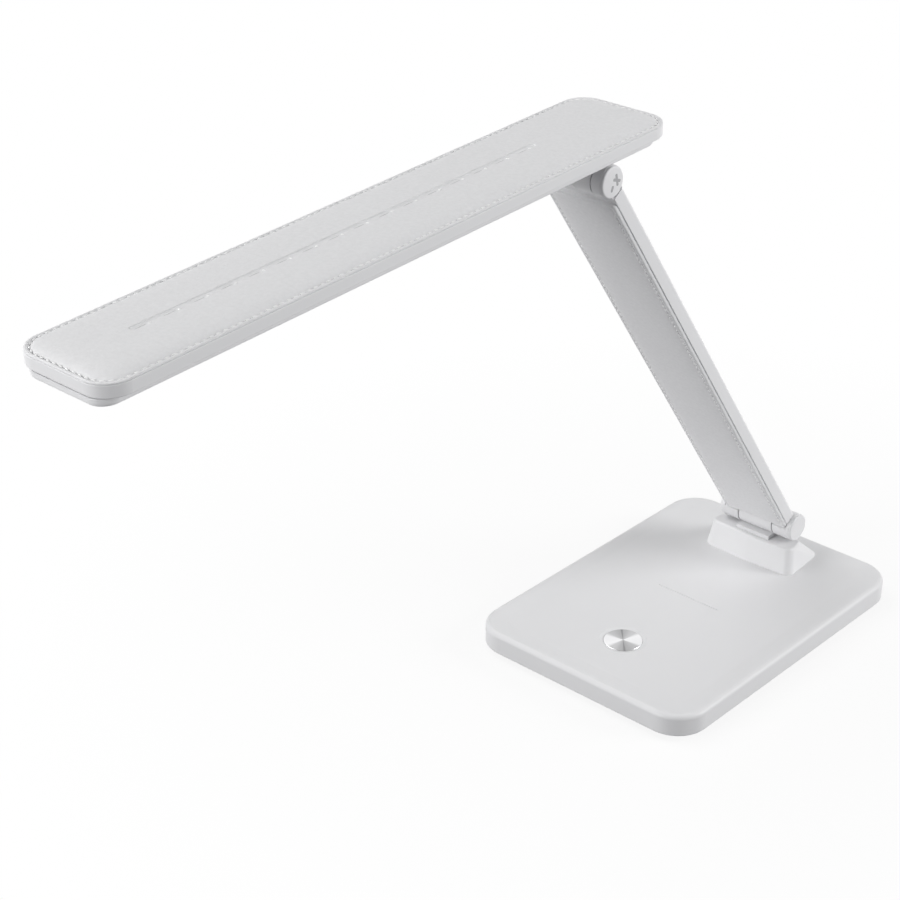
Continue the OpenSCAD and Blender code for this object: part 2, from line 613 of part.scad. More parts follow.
module light_housing() color(white) in_head() difference() {
  translate([0,house_yc,0]) {
    pebble(house_w, house_l, house_r, under_z, band_z - groove_h, 0.4, 2.2);
    slab(house_w - 2*neck_in, house_l - 2*neck_in, house_r - neck_in, band_z - groove_h - 0.5, house_top);
  }
  // room for the light panel, and its window
  translate([-panel_w/2, stack_y1, panel_z - 0.8]) cube([panel_w, stack_y0 - stack_y1, 20]);
  translate([-panel_w/2 + window_lip, stack_y1 + window_lip - 0.1, under_z - 1])
    cube([panel_w - 2*window_lip, stack_y0 - stack_y1 - 2*window_lip + 0.2, 5]);
  // room for the bracket: slot, flange pocket
  translate([-head_lug_w/2 - hole_c, -5 - hole_c, under_z - 1]) cube([head_lug_w + 2*hole_c, 10 + 2*hole_c, 20]);
  translate([-flange_w/2 - hole_c, -flange_d/2 - hole_c, band_z - 0.3])
    cube([flange_w + 2*hole_c, flange_d + 2*hole_c, 20]);
  // screw holes and the seats of the frame's bosses
  for (x = [-head_screw_x,head_screw_x], y = head_screw_y) translate([x,y,0]) {
    cylinder(r = 1.6, h = 40);
    cylinder(r = 2.9, h = under_z + 1.6);
    translate([0,0,band_z - 0.7]) cylinder(r = 2.8, h = 20);
  }
}
module head_bracket() color(white) in_head() difference() {
  union() {
    xbar(head_lug_r, -head_lug_w/2, head_lug_w/2);
    translate([-head_lug_w/2, -5, 0]) cube([head_lug_w, 10, band_z + 2]);
    translate([-flange_w/2, -flange_d/2, band_z - 0.3])
      cube([flange_w, flange_d, head_top - pad_seat - head_skin - band_z + 0.3]);
  }
  xbar(bush_r, -head_lug_w, head_lug_w);
  // two parting grooves round the barrel
  both() difference() {
    xbar(head_lug_r + 1, 4.85, 5.15);
    xbar(head_lug_r - 0.3, 4, 6);
    translate([0,-5,4]) cube([10,10,20]);
  }
  for (x = [-1,1], y = [-1,1]) translate([x*(flange_w/2 - 2), y*(flange_d/2 - 3), 0]) cylinder(r = 1.2, h = 30);
}
module upper_bushing() color(brass) in_head() difference() {
  xbar(bush_r, -head_lug_w/2, head_lug_w/2);
  xbar(pin_r + run_c, -head_lug_w, head_lug_w);
}
module upper_washers() color(steel) in_head() both() difference() {
  xbar(6.4, head_lug_w/2, head_lug_w/2 + washer_t);
  xbar(pin_r + run_c, 0, head_lug_w);
}
module diffuser() color([0.95,0.95,0.93]) in_head() {
  translate([-panel_w/2 + window_lip + 0.1, stack_y1 + window_lip, under_z + 0.2])
    cube([panel_w - 2*window_lip - 0.2, stack_y0 - stack_y1 - 2*window_lip, panel_z - under_z - 0.2]);
  translate([-panel_w/2 + 0.1, stack_y1 + 0.1, panel_z - 0.8])
    cube([panel_w - 0.2, stack_y0 - stack_y1 - 0.2, 0.8]);
}
module light_guide() color([0.85,0.9,0.92]) in_head()
  translate([-guide_w/2, stack_y1 + 1, panel_z]) cube([guide_w, stack_y0 - stack_y1 - 2, 2.4]);
module reflector() color(white) in_head()
  translate([-guide_w/2, stack_y1 + 1, panel_z + 2.4]) cube([guide_w, stack_y0 - stack_y1 - 2, 0.3]);
module heat_plate() color(steel) in_head()
  translate([-guide_w/2, stack_y1 + 1, panel_z + 2.7]) cube([guide_w, stack_y0 - stack_y1 - 2, 1.2]);
module led_boards() color([0.9,0.9,0.88]) in_head() both()
  translate([guide_w/2 + 1.1, stack_y1 + 1, panel_z]) cube([0.8, stack_y0 - stack_y1 - 2, 3.4]);
module led_chips() color([0.95,0.85,0.4]) in_head() both()
  for (i = [0:floor((stack_y0 - stack_y1 - 13)/chip_pitch)])
    translate([guide_w/2 + 0.1, stack_y1 + 8 + chip_pitch*i, panel_z + 0.4]) cube([1, 3, 1.6]);
module head_screws() color(steel) in_head()
  for (x = [-head_screw_x,head_screw_x], y = head_screw_y) translate([x,y,0]) {
    translate([0,0,under_z + 0.2]) cylinder(r = 2.6, h = 1.4);
    translate([0,0,under_z + 1.5]) cylinder(r = 1.15, h = 5.4);
  }

base_shell();
foot_plate();
foot_pad();
weight_plate();
hinge_bracket();
plinth();
hinge_post();
lower_bushing();
lower_washers();
touch_key();
touch_spring();
control_board();
board_parts();
power_jack();
jack_pin();
base_screws();
bracket_screws();
arm_frame();
arm_back();
arm_leather();
arm_bar();
arm_wires();
lower_pin();
upper_pin();
lower_caps();
upper_caps();
head_frame();
head_leather();
light_housing();
head_bracket();
upper_bushing();
upper_washers();
diffuser();
light_guide();
reflector();
heat_plate();
led_boards();
led_chips();
head_screws();
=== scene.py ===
# %% [markdown]
# # A folding desk lamp
# The lamp has a weighted base, an arm and a light head, with a hinge at each end of the
# arm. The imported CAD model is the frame: every piece made here rides on one of its three
# bodies, so the whole lamp can still fold. This script adds the stitched leather, the
# hinge's end caps and the finishes, one short cell at a time.

# %% Load the frame
import bpy
import bmesh
import json
from math import atan2, cos, pi, radians, sin
from mathutils import Matrix, Vector


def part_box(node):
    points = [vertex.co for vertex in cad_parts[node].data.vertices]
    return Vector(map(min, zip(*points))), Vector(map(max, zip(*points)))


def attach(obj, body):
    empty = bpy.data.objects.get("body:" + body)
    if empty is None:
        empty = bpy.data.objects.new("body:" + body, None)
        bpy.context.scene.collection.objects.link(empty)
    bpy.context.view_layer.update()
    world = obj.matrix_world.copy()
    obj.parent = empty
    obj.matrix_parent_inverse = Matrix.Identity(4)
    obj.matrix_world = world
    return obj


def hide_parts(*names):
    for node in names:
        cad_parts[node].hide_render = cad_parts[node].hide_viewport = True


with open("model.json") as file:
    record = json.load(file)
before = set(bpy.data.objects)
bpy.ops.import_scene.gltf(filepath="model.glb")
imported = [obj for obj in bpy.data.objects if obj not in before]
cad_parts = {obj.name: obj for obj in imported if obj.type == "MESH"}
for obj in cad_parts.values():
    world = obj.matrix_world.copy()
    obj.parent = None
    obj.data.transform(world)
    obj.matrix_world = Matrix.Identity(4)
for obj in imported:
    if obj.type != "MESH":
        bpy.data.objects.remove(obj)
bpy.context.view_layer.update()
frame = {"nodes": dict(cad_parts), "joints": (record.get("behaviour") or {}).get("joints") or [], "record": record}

nodes = frame["nodes"]
MM = 0.001
print("CAD nodes:", len(nodes))

# %% [markdown]
# The arm and the head lean, but they are easiest to model lying square. So each gets a
# drawing frame of its own: a matrix that carries upright, centred work to its place. Both
# matrices come from the joints of the frame, so nothing is placed by eye.

# %% Drawing frames of the arm and the head
hinge = {joint["name"]: Vector(joint["pos_m"]) for joint in frame["joints"]}
arm_line = hinge["head_fold"] - hinge["arm_fold"]
arm_lean = atan2(-arm_line.y, arm_line.z)
head_droop = radians(2.7)
in_arm = Matrix.Translation(hinge["arm_fold"]) @ Matrix.Rotation(arm_lean, 4, "X")
in_head = Matrix.Translation(hinge["head_fold"]) @ Matrix.Rotation(head_droop, 4, "X")
print("arm leans", round(arm_lean * 180 / pi, 1), "degrees and is", round(arm_line.length, 4), "m long")


def local_box(node, place):
    """Lowest and highest corner of a CAD node, measured along its own drawing frame."""
    back = place.inverted()
    points = [back @ vertex.co for vertex in nodes[node].data.vertices]
    low = Vector([min(point[axis] for point in points) for axis in range(3)])
    high = Vector([max(point[axis] for point in points) for axis in range(3)])
    return low, high


# %% [markdown]
# ## Camera
# The camera stands to the front right, a little above the head. Its place was solved from
# the straight edges of the lamp, and it is kept as two turns, a distance and a lens, as a
# photographer would note it.

# %% Camera
view_turn = radians(42.35)
view_rise = radians(27.97)
view_distance = 1.22518
view_shift = (0.13777, -0.09946)
image_pixels = 900
focal_pixels = 2101.8

back = Vector((sin(view_turn) * cos(view_rise), -cos(view_turn) * cos(view_rise), sin(view_rise)))
right = Vector((cos(view_turn), sin(view_turn), 0))
up = back.cross(right)
camera_data = bpy.data.cameras.new("camera")
camera_data.sensor_width = 36
camera_data.lens = focal_pixels * camera_data.sensor_width / image_pixels
camera = bpy.data.objects.new("camera", camera_data)
camera.matrix_world = Matrix.Translation(
    back * view_distance - right * view_shift[0] - up * view_shift[1]
) @ Matrix((right, up, back)).transposed().to_4x4()
bpy.context.scene.collection.objects.link(camera)
bpy.context.scene.camera = camera
print("lens", round(camera_data.lens, 1), "mm")

# %% [markdown]
# ## Materials
# Every finish is a small node tree. They share three habits: a tone that wanders a little,
# a relief that comes from noise in Object coordinates, and plain numbers on the shader
# itself. Object coordinates are in metres, so a pattern of one millimetre has a scale of
# about one thousand.

# %% Material helpers
finishes = {}


def finish(name, colour, roughness, metallic=0.0):
    """A new material with its shader, and short ways to add nodes and links to it."""
    material = bpy.data.materials.new(name)
    material.use_nodes = True
    tree = material.node_tree
    shader = tree.nodes["Principled BSDF"]
    shader.inputs["Base Color"].default_value = (*colour, 1)
    shader.inputs["Roughness"].default_value = roughness
    shader.inputs["Metallic"].default_value = metallic
    material.diffuse_color = (*colour, 1)
    finishes[name] = material
    return material, tree, shader


def add(tree, kind, **settings):
    """A node of that kind, with its sockets set by name."""
    node = tree.nodes.new(kind)
    for key, value in settings.items():
        if key in node.inputs:
            node.inputs[key].default_value = value
        else:
            setattr(node, key, value)
    return node


def place_nodes(tree, stretch=(1, 1, 1)):
    """Object coordinates, stretched along the axes where a finish has a direction."""
    where = add(tree, "ShaderNodeTexCoord")
    mapping = add(tree, "ShaderNodeMapping")
    mapping.inputs["Scale"].default_value = stretch
    tree.links.new(where.outputs["Object"], mapping.inputs["Vector"])
    return mapping.outputs["Vector"]


def mottle(tree, shader, where, colour, scale, amount):
    """Lets the tone wander by a few per cent."""
    noise = add(tree, "ShaderNodeTexNoise", Scale=scale, Detail=4.0, Roughness=0.6)
    ramp = add(tree, "ShaderNodeValToRGB")
    dark = [channel * (1 - amount) for channel in colour]
    ramp.color_ramp.elements[0].position = 0.3
    ramp.color_ramp.elements[0].color = (*dark, 1)
    ramp.color_ramp.elements[1].position = 0.7
    ramp.color_ramp.elements[1].color = (*colour, 1)
    tree.links.new(where, noise.inputs["Vector"])
    tree.links.new(noise.outputs["Fac"], ramp.inputs["Fac"])
    tree.links.new(ramp.outputs["Color"], shader.inputs["Base Color"])
    return noise


def relief(tree, shader, height, strength, depth):
    """Turns a height into a bump on the shader."""
    bump = add(tree, "ShaderNodeBump", Strength=strength, Distance=depth)
    tree.links.new(height, bump.inputs["Height"])
    tree.links.new(bump.outputs["Normal"], shader.inputs["Normal"])
    return bump


# %% [markdown]
# Moulded white plastic is the finish of the base, the arm frame and the head frame. It is
# satin, with the fine spark texture of a mould that was eroded and not polished.

# %% Moulded plastics
def moulded(name, colour, roughness, grain=0.0004, depth=0.00002):
    material, tree, shader = finish(name, colour, roughness)
    where = place_nodes(tree)
    mottle(tree, shader, where, colour, 18.0, 0.015)
    spark = add(tree, "ShaderNodeTexNoise", Scale=1 / grain, Detail=2.0, Roughness=0.5)
    tree.links.new(where, spark.inputs["Vector"])
    relief(tree, shader, spark.outputs["Fac"], 0.35, depth)
    return material


moulded("satin_white", (0.79, 0.79, 0.80), 0.42)
moulded("painted_white", (0.79, 0.79, 0.80), 0.36, 0.0009, 0.00001)
moulded("black_plastic", (0.035, 0.035, 0.037), 0.45)
moulded("milky_diffuser", (0.86, 0.86, 0.84), 0.5, 0.0012, 0.00001)
moulded("foot_rubber", (0.045, 0.045, 0.045), 0.85, 0.0007, 0.00006)
moulded("board_green", (0.03, 0.13, 0.07), 0.35, 0.0016, 0.00002)
moulded("film_white", (0.9, 0.9, 0.9), 0.3)
moulded("guide_clear", (0.85, 0.88, 0.88), 0.08)
moulded("phosphor", (0.9, 0.72, 0.25), 0.4, 0.0003)
print("plastics:", len(finishes))

# %% [markdown]
# The leather is a coated hide with a fine pebble. Rounded cells of a Voronoi pattern make
# the pebbles, and a softer noise breaks up their rows. A touch of sheen lifts the grazing
# light as the coating does.

# %% Leather and thread
def leather(name, colour, roughness):
    material, tree, shader = finish(name, colour, roughness)
    where = place_nodes(tree)
    mottle(tree, shader, where, colour, 560.0, 0.065)
    pebble = add(tree, "ShaderNodeTexVoronoi", feature="SMOOTH_F1", Scale=900.0, Smoothness=0.5)
    crease = add(tree, "ShaderNodeTexNoise", Scale=420.0, Detail=5.0, Roughness=0.6)
    both = add(tree, "ShaderNodeMath", operation="MULTIPLY_ADD")
    both.inputs[1].default_value = -0.7
    tree.links.new(where, pebble.inputs["Vector"])
    tree.links.new(where, crease.inputs["Vector"])
    tree.links.new(pebble.outputs["Distance"], both.inputs[0])
    tree.links.new(crease.outputs["Fac"], both.inputs[2])
    relief(tree, shader, both.outputs["Value"], 0.6, 0.00014)
    shader.inputs["Sheen Weight"].default_value = 0.12
    shader.inputs["Sheen Roughness"].default_value = 0.5
    return material


leather("pebbled_leather", (0.80, 0.80, 0.81), 0.55)


def thread(name, colour):
    material, tree, shader = finish(name, colour, 0.6)
    where = place_nodes(tree)
    mottle(tree, shader, where, colour, 500.0, 0.05)
    twist = add(tree, "ShaderNodeTexWave", Scale=450.0, Distortion=1.0)
    twist.bands_direction = "DIAGONAL"
    tree.links.new(where, twist.inputs["Vector"])
    relief(tree, shader, twist.outputs["Fac"], 0.2, 0.00004)
    return material


thread("white_thread", (0.95, 0.95, 0.95))
# Painted shade: a grey for the dark of the needle holes.
thread("hole_shade_grey", (0.42, 0.42, 0.43))
# Painted shadow: a grey for the dashes under the channel's near rim.
thread("painted_channel_shadow", (0.58, 0.58, 0.59))
moulded("grey_print", (0.4, 0.4, 0.41), 0.5)
print("leather and thread ready")

# %% [markdown]
# Metals differ mostly in the way their scratches run. A turned or brushed part has them
# along one direction, so the noise is stretched along it. The touch key has a sunray
# finish: its scratches run out from the middle like spokes and set the shader's tangent.
# Its two bright fans and two dull ones are a painted reflection in its colour, lined up
# with the camera.

# %% Metals
def metal(name, colour, roughness, stretch=(1, 1, 1), grain=0.0006, depth=0.00002):
    material, tree, shader = finish(name, colour, roughness, 1.0)
    where = place_nodes(tree, stretch)
    mottle(tree, shader, where, colour, 40.0, 0.06)
    scratch = add(tree, "ShaderNodeTexNoise", Scale=1 / grain, Detail=3.0, Roughness=0.6)
    tree.links.new(where, scratch.inputs["Vector"])
    relief(tree, shader, scratch.outputs["Fac"], 0.4, depth)
    return material


metal("zinc_steel", (0.60, 0.61, 0.62), 0.35)
metal("turned_brass", (0.78, 0.60, 0.32), 0.3, (0.1, 1, 1))
metal("cast_iron", (0.16, 0.16, 0.17), 0.65, (1, 1, 1), 0.0015, 0.0002)
metal("mill_aluminium", (0.70, 0.71, 0.72), 0.38, (1, 0.08, 1))

key_low, key_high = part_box("touch_key")
key_middle = (key_low + key_high) / 2
# (part of a half turn, share of the painted bright tone) from one bright fan to the next
painted_fan_tones = [
    (0.13, 1.0), (0.26, 0.45), (0.46, 0.3), (0.5, 0.0), (0.54, 0.3), (0.74, 0.45), (0.87, 1.0),
]


def sunray_metal_painted_fans(name, colour, painted_dull, roughness, middle, painted_bright_turn):
    """Scratches that run out from a point, with bright and dull fans of painted reflection in the colour, the
    bright ones along one line through it.
    """
    material, tree, shader = finish(name, colour, roughness, 1.0)
    where = add(tree, "ShaderNodeTexCoord").outputs["Object"]
    centred = add(tree, "ShaderNodeMapping", vector_type="TEXTURE")
    centred.inputs["Location"].default_value = (middle.x, middle.y, 0)
    centred.inputs["Rotation"].default_value = (0, 0, painted_bright_turn)
    tree.links.new(where, centred.inputs["Vector"])
    flat = add(tree, "ShaderNodeVectorMath", operation="MULTIPLY")
    flat.inputs[1].default_value = (1, 1, 0)
    tree.links.new(centred.outputs["Vector"], flat.inputs[0])
    turn = add(tree, "ShaderNodeTexGradient", gradient_type="RADIAL")
    tree.links.new(flat.outputs["Vector"], turn.inputs["Vector"])
    spoke = add(tree, "ShaderNodeTexNoise", Scale=160.0, Detail=3.0, noise_dimensions="1D")
    tree.links.new(turn.outputs["Fac"], spoke.inputs["W"])
    relief(tree, shader, spoke.outputs["Fac"], 0.3, 0.00002)
    fans = add(tree, "ShaderNodeMath", operation="MULTIPLY")
    fans.inputs[1].default_value = 2.0
    half_turn = add(tree, "ShaderNodeMath", operation="FRACT")
    tree.links.new(turn.outputs["Fac"], fans.inputs[0])
    tree.links.new(fans.outputs["Value"], half_turn.inputs[0])
    # Painted reflection: the base colour turns from bright to dull with the angle about the middle.
    tone = add(tree, "ShaderNodeValToRGB")
    tone.color_ramp.interpolation = "EASE"
    stops = tone.color_ramp.elements
    stops[0].position = 0.0
    stops[0].color = (*colour, 1)
    stops[1].position = 1.0
    stops[1].color = (*colour, 1)
    for position, shade in painted_fan_tones:
        stop = stops.new(position)
        stop.color = (*[low + (high - low) * shade for low, high in zip(painted_dull, colour)], 1)
    tree.links.new(half_turn.outputs["Value"], tone.inputs["Fac"])
    tree.links.new(tone.outputs["Color"], shader.inputs["Base Color"])
    shader.inputs["Anisotropic"].default_value = 0.6
    outward = add(tree, "ShaderNodeVectorMath", operation="SUBTRACT")
    outward.inputs[1].default_value = (middle.x, middle.y, 0)
    level = add(tree, "ShaderNodeVectorMath", operation="MULTIPLY")
    level.inputs[1].default_value = (1, 1, 0)
    tree.links.new(where, outward.inputs[0])
    tree.links.new(outward.outputs["Vector"], level.inputs[0])
    tree.links.new(level.outputs["Vector"], shader.inputs["Tangent"])
    return material


# The bright fans are turned to the camera's turn, so this painted reflection faces the camera.
sunray_metal_painted_fans("sunray_steel_painted_fans", (0.87, 0.87, 0.88), (0.27, 0.27, 0.275), 0.34, key_middle, view_turn)
print("finishes:", len(finishes))

# %% [markdown]
# ## Modelling helpers
# A piece is finished the same way each time: its mesh is carried to its place, so the
# object itself stays at the origin, then it gets a material and a body to ride on, and the
# CAD nodes that it stands for are hidden.

# %% Finishing a piece
made = []


def finish_piece(bm, name, place, material, body, stands_for=(), smooth=True):
    bmesh.ops.transform(bm, matrix=place, verts=bm.verts)
    bmesh.ops.recalc_face_normals(bm, faces=bm.faces)
    mesh = bpy.data.meshes.new(name)
    bm.to_mesh(mesh)
    bm.free()
    for polygon in mesh.polygons:
        polygon.use_smooth = smooth
    mesh.materials.append(finishes[material])
    piece = bpy.data.objects.new(name, mesh)
    bpy.context.scene.collection.objects.link(piece)
    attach(piece, body)
    if stands_for:
        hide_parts(*stands_for)
    made.append(name)
    return piece


# %% [markdown]
# Both leather pads start as a flat plate with round corners. One quad is scaled to size,
# its corners are bevelled as vertices, and its sides are cut into even steps. Each later
# row is that same outline, drawn in and raised. A cloth simulation would suit a loose
# cushion, but these pads are thin and stretched, so their section is drawn row by row.

# %% A plate with round corners
def round_plate(width, length, radius, corner_steps, side_step):
    """A bmesh with one many-sided face, in which every side has an even count of steps."""
    bm = bmesh.new()
    bmesh.ops.create_grid(bm, x_segments=1, y_segments=1, size=0.5)
    bmesh.ops.scale(bm, vec=(width, length, 1), verts=bm.verts)
    bmesh.ops.bevel(
        bm, geom=bm.verts[:], offset=radius, offset_type="OFFSET", segments=corner_steps,
        profile=0.5, affect="VERTICES", material=-1,
    )
    bmesh.ops.delete(bm, geom=bm.faces[:], context="FACES_ONLY")
    for edge in [edge for edge in bm.edges if edge.calc_length() > 2 * side_step]:
        steps = 2 * round(edge.calc_length() / side_step / 2)
        bmesh.ops.subdivide_edges(bm, edges=[edge], cuts=steps - 1)
    face = bmesh.ops.contextual_create(bm, geom=bm.edges[:])["faces"][0]
    if face.normal.z < 0:
        face.normal_flip()
    return bm, face


def redraw(point, old, new):
    """Carries a point of one rounded rectangle to the same place on another.

    An outline is (width, length, radius, middle along Y)."""
    half = [old[0] / 2 - old[2], old[1] / 2 - old[2]]
    flat = Vector((point.x, point.y - old[3]))
    corner = Vector([max(-half[axis], min(half[axis], flat[axis])) for axis in range(2)])
    outward = (flat - corner).normalized()
    grow = [(new[0] / 2 - new[2]) / half[0], (new[1] / 2 - new[2]) / half[1]]
    return Vector((
        corner.x * grow[0] + outward.x * new[2],
        new[3] + corner.y * grow[1] + outward.y * new[2],
        0,
    ))


def raise_rows(bm, face, outline, rows):
    """Extrudes the face once for each row of (outline, height), and keeps the rows' vertices."""
    kept = []
    for new_outline, height in rows:
        extruded = bmesh.ops.extrude_discrete_faces(bm, faces=[face])["faces"]
        face = extruded[0]
        for vertex in face.verts:
            vertex.co = redraw(vertex.co, outline, new_outline) + Vector((0, 0, height))
        outline = new_outline
        kept.append(list(face.verts))
    return kept


# %% [markdown]
# ## Stitches
# A sewn row is a line of short threads, each a little slanted, that dive into a needle
# hole at both ends. There are hundreds of them, so one low-poly ellipsoid is made once and
# stamped into the row's mesh again and again, each time with its own matrix.

# %% Stamping one shape many times
def bead(across_steps, along_steps):
    """A small ellipsoid of radius 1 as a mesh, ready for stamping."""
    bm = bmesh.new()
    bmesh.ops.create_uvsphere(
        bm, u_segments=across_steps, v_segments=along_steps, radius=1,
        matrix=Matrix.Rotation(pi / 2, 4, "Y"),
    )
    mesh = bpy.data.meshes.new("bead")
    bm.to_mesh(mesh)
    bm.free()
    return mesh


def stamp(bm, shape, matrix):
    """Adds a copy of the shape to the bmesh."""
    copy = shape.copy()
    copy.transform(matrix)
    bm.from_mesh(copy)
    bpy.data.meshes.remove(copy)


thread_bead = bead(8, 6)
hole_shade_bead = bead(6, 4)


# %% Sewing a row
def sew(name, pairs, place, body, normal, length=0.66, thick=0.5 * MM, slant=0.0, lift=0.0):
    """One thread for each (start, end) pair of points, and a grey bead of painted shade for the needle hole at
    each start.
    """
    threads = bmesh.new()
    holes = bmesh.new()
    for start, end in pairs:
        along = (end - start).normalized()
        across = normal.cross(along)
        frame_of_stitch = Matrix((along, across, normal)).transposed().to_4x4()
        size = Matrix.Diagonal(((end - start).length * length / 2, thick, thick * 0.8, 1))
        middle = Matrix.Translation((start + end) / 2 + normal * lift)
        stamp(threads, thread_bead, middle @ frame_of_stitch @ Matrix.Rotation(slant, 4, "Z") @ size)
        # The flat grey bead at each start is painted shade for the needle hole.
        hole = Matrix.Diagonal((thick * 1.2, thick * 1.0, thick * 0.4, 1))
        stamp(holes, hole_shade_bead, Matrix.Translation(start + normal * 0.05 * MM) @ frame_of_stitch @ hole)
    finish_piece(threads, name, place, "white_thread", body)
    finish_piece(holes, name + "_painted_holes", place, "hole_shade_grey", body)
    print(name, "has", len(pairs), "stitches")


# %% [markdown]
# ## The head's leather
# A soft pad fills the top of the head, inside a thin rim. From outside in, its section
# has a rolled lip, a sewn valley, and a crown that rises towards a long channel in the
# middle. The rows of the pad follow that section. Every second vertex of the valley sits
# a little lower, where the needle pulls the leather down, and the stitches then run from
# hole to hole.

# %% Head leather
head_low, head_high = local_box("head_leather", in_head)
pad_width = head_high.x - head_low.x
pad_length = head_high.y - head_low.y
pad_middle = (head_low.y + head_high.y) / 2
pad_height = head_high.z - head_low.z
corner_radius = 12 * MM
stitch_pitch = 3.8 * MM
channel_width = 2.8 * MM
channel_length = 243.5 * MM
channel_middle = -152.2 * MM
lip = 1.7 * MM
crown = pad_height - lip


def pad_outline(inset):
    radius = max(corner_radius - 0.55 * inset, 4 * MM)
    return (pad_width - 2 * inset, pad_length - 2 * inset, radius, pad_middle)


def channel_outline(grow):
    width = channel_width + 2 * grow
    return (width, channel_length + 2 * grow, width / 2 * 0.96, channel_middle)


# (inset, height) of the lip and the valley, in millimetres
rolled_lip = [
    (0.0, 0.5), (0.0, 0.84), (-0.7, 0.88), (-0.88, 1.06), (-0.84, 1.34), (-0.55, 1.62),
    (-0.1, 1.76), (0.4, 1.72), (0.8, 1.5),
]
valley = (1.2, 1.2)
# (inset in millimetres, share of the crown's height) of the swelling top
rising = [
    (1.6, -0.02), (2.3, 0.16), (3.4, 0.36), (5.0, 0.56), (7.2, 0.74), (10.0, 0.87),
    (13.5, 0.95), (17.0, 0.99),
]
# (growth, drop) of the rounded edge that leads down into the channel, in millimetres
channel_edge = [(1.1, 0.0), (0.65, 0.03), (0.3, 0.09), (0.08, 0.2), (0.0, 0.36), (-0.3, 0.5)]
needle_dips = (0.08, 0.24, 0.14)
swell_start = 0.15 * MM
rows = [(pad_outline(inset * MM), height * MM) for inset, height in rolled_lip]
rows.append((pad_outline(valley[0] * MM), valley[1] * MM))
rows += [
    (pad_outline(inset * MM), lip - swell_start + (crown + swell_start) * share)
    for inset, share in rising
]


def between(share):
    """An outline part of the way from the crown to the channel's edge."""
    outer = pad_outline(rising[-1][0] * MM)
    inner = channel_outline(channel_edge[0][0] * MM)
    return tuple(a + (b - a) * share for a, b in zip(outer, inner))


rows.append((between(0.5), lip + crown))
rows += [(channel_outline(grow * MM), lip + crown - drop * MM) for grow, drop in channel_edge]

bm, plate = round_plate(pad_width, pad_length, corner_radius, 10, stitch_pitch / 2)
base_row = list(plate.verts)
kept = raise_rows(bm, plate, (pad_width, pad_length, corner_radius, 0), rows)
for vertex in base_row:
    vertex.co.y += pad_middle
valley_at = len(rolled_lip)
for row, dip in zip(kept[valley_at - 1:valley_at + 2], needle_dips):
    for vertex in row[::2]:
        vertex.co.z -= dip * MM
holes = [vertex.co.copy() for vertex in kept[valley_at][::2]]
print("head pad rows:", len(rows))
head_place = in_head @ Matrix.Translation((0, 0, head_low.z))
head_pad = finish_piece(
    bm, "head_leather_pad", head_place, "pebbled_leather", "head", ["head_leather"]
)
pairs = list(zip(holes, holes[1:] + holes[:1]))
pad_up = Vector((0, 0, 1))
sew("head_stitches", pairs, head_place, "head", pad_up, slant=radians(-10), lift=0.44 * MM)

# %% [markdown]
# Along the near side of the channel stand small white bar tacks, and between them long
# grey dashes of painted shadow under the channel's near rim. Both are the same bead,
# stretched and stamped.

# %% Tacks and painted shadow of the channel
tack_pitch = 15.3 * MM
tack_count = 16
tack_first = -265.4 * MM
tack_size = Matrix.Diagonal((0.75 * MM, 0.6 * MM, 0.35 * MM, 1))
# Each long grey dash is painted shadow under the channel's near rim.
rim_shadow_size = Matrix.Diagonal((0.26 * MM, 3.75 * MM, 0.22 * MM, 1))
near_rim_point = Vector((channel_width / 2 + 0.25 * MM, 0, lip + crown - 0.16 * MM))
tack_offset = Vector((0.3 * MM, 0, 0.1 * MM))
rim_shadow_offset = Vector((0, -4.8 * MM, 0))
tacks = bmesh.new()
rim_shadows = bmesh.new()
for count in range(tack_count):
    point = near_rim_point + Vector((0, tack_first + count * tack_pitch, 0))
    stamp(tacks, thread_bead, Matrix.Translation(point + tack_offset) @ tack_size)
    stamp(rim_shadows, thread_bead, Matrix.Translation(point + rim_shadow_offset) @ rim_shadow_size)
finish_piece(tacks, "channel_tacks", head_place, "white_thread", "head")
finish_piece(rim_shadows, "channel_rim_shadow", head_place, "painted_channel_shadow", "head")
print("channel:", tack_count, "tacks")

# %% [markdown]
# ## The arm's leather
# The arm carries a second, flatter pad on the face that looks forward. It has the same
# kind of rolled lip and valley, and its two long sides are sewn with the same thread. The
# real pad is cut round the barrel of the lower hinge. Here the vertices that would touch
# the barrel are pushed out to a circle a little wider than it.

# %% Arm leather
arm_low, arm_high = local_box("arm_leather", in_arm)
strip_width = arm_high.x - arm_low.x
strip_length = arm_high.z - arm_low.z
strip_height = arm_high.y - arm_low.y
strip_radius = 2.4 * MM
strip_lip = 2.0 * MM
strip_crown = strip_height - strip_lip


def strip_outline(inset):
    return (strip_width - 2 * inset, strip_length - 2 * inset, strip_radius, 0)


strip_edge = [(0.0, 0.4), (0.0, 1.4), (0.25, 1.8), (0.8, 2.0), (1.4, 1.92), (1.9, 1.66)]
strip_valley = (2.3, 1.5)
strip_rise = [
    (2.8, 0.05), (3.6, 0.22), (5.0, 0.42), (7.5, 0.66), (11.0, 0.86), (15.0, 0.97), (19.0, 1.0),
]
strip_dip = 0.2 * MM
strip_swell = 0.1 * MM
rows = [(strip_outline(inset * MM), height * MM) for inset, height in strip_edge]
rows.append((strip_outline(strip_valley[0] * MM), strip_valley[1] * MM))
rows += [
    (strip_outline(inset * MM), strip_lip - strip_swell + (strip_crown + strip_swell) * share)
    for inset, share in strip_rise
]
bm, plate = round_plate(strip_width, strip_length, strip_radius, 4, stitch_pitch / 2)
kept = raise_rows(bm, plate, strip_outline(0), rows)
sewn = kept[len(strip_edge)]
for vertex in sewn[::2]:
    vertex.co.z -= strip_dip
holes = [vertex.co.copy() for vertex in sewn[::2]]
strip_middle = Vector((0, arm_high.y, (arm_low.z + arm_high.z) / 2))
